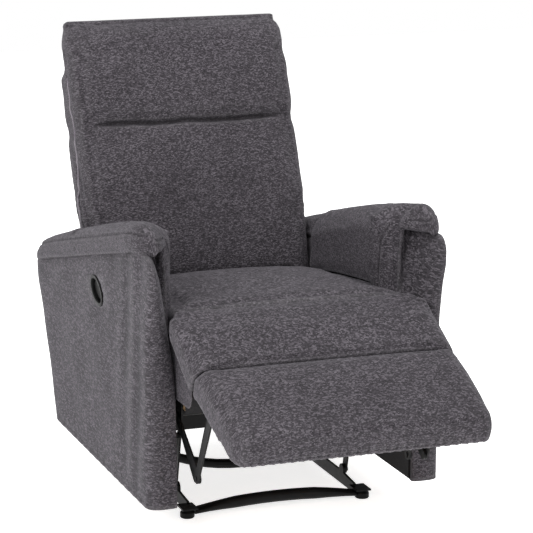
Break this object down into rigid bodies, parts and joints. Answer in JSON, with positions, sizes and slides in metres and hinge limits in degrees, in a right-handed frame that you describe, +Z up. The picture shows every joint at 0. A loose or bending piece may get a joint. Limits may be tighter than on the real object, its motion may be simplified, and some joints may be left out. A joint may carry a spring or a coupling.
{
  "type": "recliner armchair",
  "caption": "Upholstered recliner armchair with winged arms, a hinged back, a fold-out footrest on crossing steel links, and a pull handle in the arm, on a black steel base.",
  "frame": {"origin": "on the floor, under the middle of the whole footprint with the footrest out", "axes": "+Z up, +X towards the sitter's left, the chair faces -Y"},
  "size_m": [0.734, 1.4143, 1.0458],
  "materials": {
    "upholstery": "dark grey melange chenille weave",
    "lining": "thin black non-woven lining",
    "black_steel": "black semi-gloss paint",
    "wood_frame": "planed softwood and plywood",
    "spring_steel": "bright drawn wire",
    "black_plastic": "black satin moulding"
  },
  "bodies": {
    "base": {"front_cross_tube": "black_steel", "centre_stretcher": "black_steel", "base_rail_left": "black_steel", "base_rail_right": "black_steel", "glide_front_left": "black_plastic", "glide_front_right": "black_plastic", "glide_rear_left": "black_plastic", "glide_rear_right": "black_plastic"},
    "front_support_links": {"front_support_link_left": "black_steel", "front_support_link_right": "black_steel"},
    "rear_support_links": {"rear_support_link_left": "black_steel", "rear_support_link_right": "black_steel"},
    "seat": {"mechanism_side_plate_left": "black_steel", "mechanism_side_plate_right": "black_steel", "seat_side_rail_left": "wood_frame", "seat_side_rail_right": "wood_frame", "seat_front_rail": "wood_frame", "seat_rear_rail": "wood_frame", "seat_cross_bar": "black_steel", "seat_spring_1": "spring_steel", "seat_spring_2": "spring_steel", "seat_spring_3": "spring_steel", "seat_cushion": "upholstery", "seat_side_panel_left": "upholstery", "seat_side_panel_right": "upholstery", "arm_outer_panel_left": "upholstery", "arm_outer_panel_right": "upholstery", "arm_inner_panel_left": "lining", "arm_inner_panel_right": "lining", "arm_frame_left": "wood_frame", "arm_frame_right": "wood_frame", "arm_pad_left": "upholstery", "arm_pad_right": "upholstery", "arm_bracket_left": "black_steel", "arm_bracket_right": "black_steel", "rear_apron": "lining", "handle_bezel": "black_plastic", "release_cable": "black_plastic"},
    "back": {"back_cushion_head": "upholstery", "back_cushion_lower": "upholstery", "back_frame": "wood_frame", "back_rear_panel": "upholstery", "back_bracket_left": "black_steel", "back_bracket_right": "black_steel"},
    "handle": {"handle_lever": "black_plastic"},
    "flap": {"flap_board": "wood_frame", "flap_pad": "upholstery"},
    "ottoman": {"ottoman_board": "wood_frame", "ottoman_pad": "upholstery", "ottoman_bracket_left": "black_steel", "ottoman_bracket_right": "black_steel"},
    "links_a_rear": {"link_a_rear_left": "black_steel", "link_a_rear_right": "black_steel", "torque_tube": "black_steel"},
    "links_a_front": {"link_a_front_left": "black_steel", "link_a_front_right": "black_steel"},
    "links_b_rear": {"link_b_rear_left": "black_steel", "link_b_rear_right": "black_steel"},
    "links_b_front": {"link_b_front_left": "black_steel", "link_b_front_right": "black_steel"}
  },
  "joints": [
    {"name": "body_glide", "type": "hinge", "parent": "base", "child": "front_support_links", "pos_m": [0, -0.0398, 0.042], "axis": [1, 0, 0], "range_deg": [-12, 24]},
    {"name": "rear_support_swing", "type": "hinge", "parent": "base", "child": "rear_support_links", "pos_m": [0, 0.2722, 0.042], "axis": [1, 0, 0], "range_deg": [-12.5, 24.5]},
    {"name": "seat_level", "type": "hinge", "parent": "front_support_links", "child": "seat", "pos_m": [0, -0.07296, 0.17802], "axis": [1, 0, 0], "range_deg": [-24.5, 12.5]},
    {"name": "back_recline", "type": "hinge", "parent": "seat", "child": "back", "pos_m": [0, 0.4072, 0.385], "axis": [-1, 0, 0], "range_deg": [-11.5, 22.5]},
    {"name": "handle_pull", "type": "hinge", "parent": "seat", "child": "handle", "pos_m": [-0.345, 0.11582, 0.48081], "axis": [0, -0.9397, -0.342], "range_deg": [0, 35], "stiffness_Nm_per_rad": 0.3},
    {"name": "footrest_fold", "type": "hinge", "parent": "seat", "child": "flap", "pos_m": [0, -0.2978, 0.474], "axis": [1, 0, 0], "range_deg": [0, 52.3]},
    {"name": "ottoman_fold", "type": "hinge", "parent": "flap", "child": "ottoman", "pos_m": [0, -0.4398, 0.386], "axis": [1, 0, 0], "range_deg": [0, 17.2]},
    {"name": "link_a_rear_turn", "type": "hinge", "parent": "seat", "child": "links_a_rear", "pos_m": [0, -0.1911, 0.27], "axis": [1, 0, 0], "range_deg": [0, 52.7]},
    {"name": "link_a_front_turn", "type": "hinge", "parent": "links_a_rear", "child": "links_a_front", "pos_m": [0, -0.3228, 0.155], "axis": [1, 0, 0], "range_deg": [-51.5, 0]},
    {"name": "link_b_rear_turn", "type": "hinge", "parent": "seat", "child": "links_b_rear", "pos_m": [0, -0.225, 0.27], "axis": [1, 0, 0], "range_deg": [0, 66.3]},
    {"name": "link_b_front_turn", "type": "hinge", "parent": "links_b_rear", "child": "links_b_front", "pos_m": [0, -0.3779, 0.17], "axis": [1, 0, 0], "range_deg": [-72.1, 0]}
  ],
  "couplings": [
    {"joint": "rear_support_swing", "follows": "body_glide", "ratio": 1},
    {"joint": "seat_level", "follows": "body_glide", "ratio": -1},
    {"joint": "back_recline", "follows": "body_glide", "ratio": 0.9},
    {"joint": "ottoman_fold", "follows": "footrest_fold", "ratio": 0.32122},
    {"joint": "link_a_rear_turn", "follows": "footrest_fold", "ratio": 0.9986},
    {"joint": "link_a_front_turn", "follows": "footrest_fold", "ratio": -0.97476},
    {"joint": "link_b_rear_turn", "follows": "footrest_fold", "ratio": 1.2584},
    {"joint": "link_b_front_turn", "follows": "footrest_fold", "ratio": -1.3686}
  ]
}
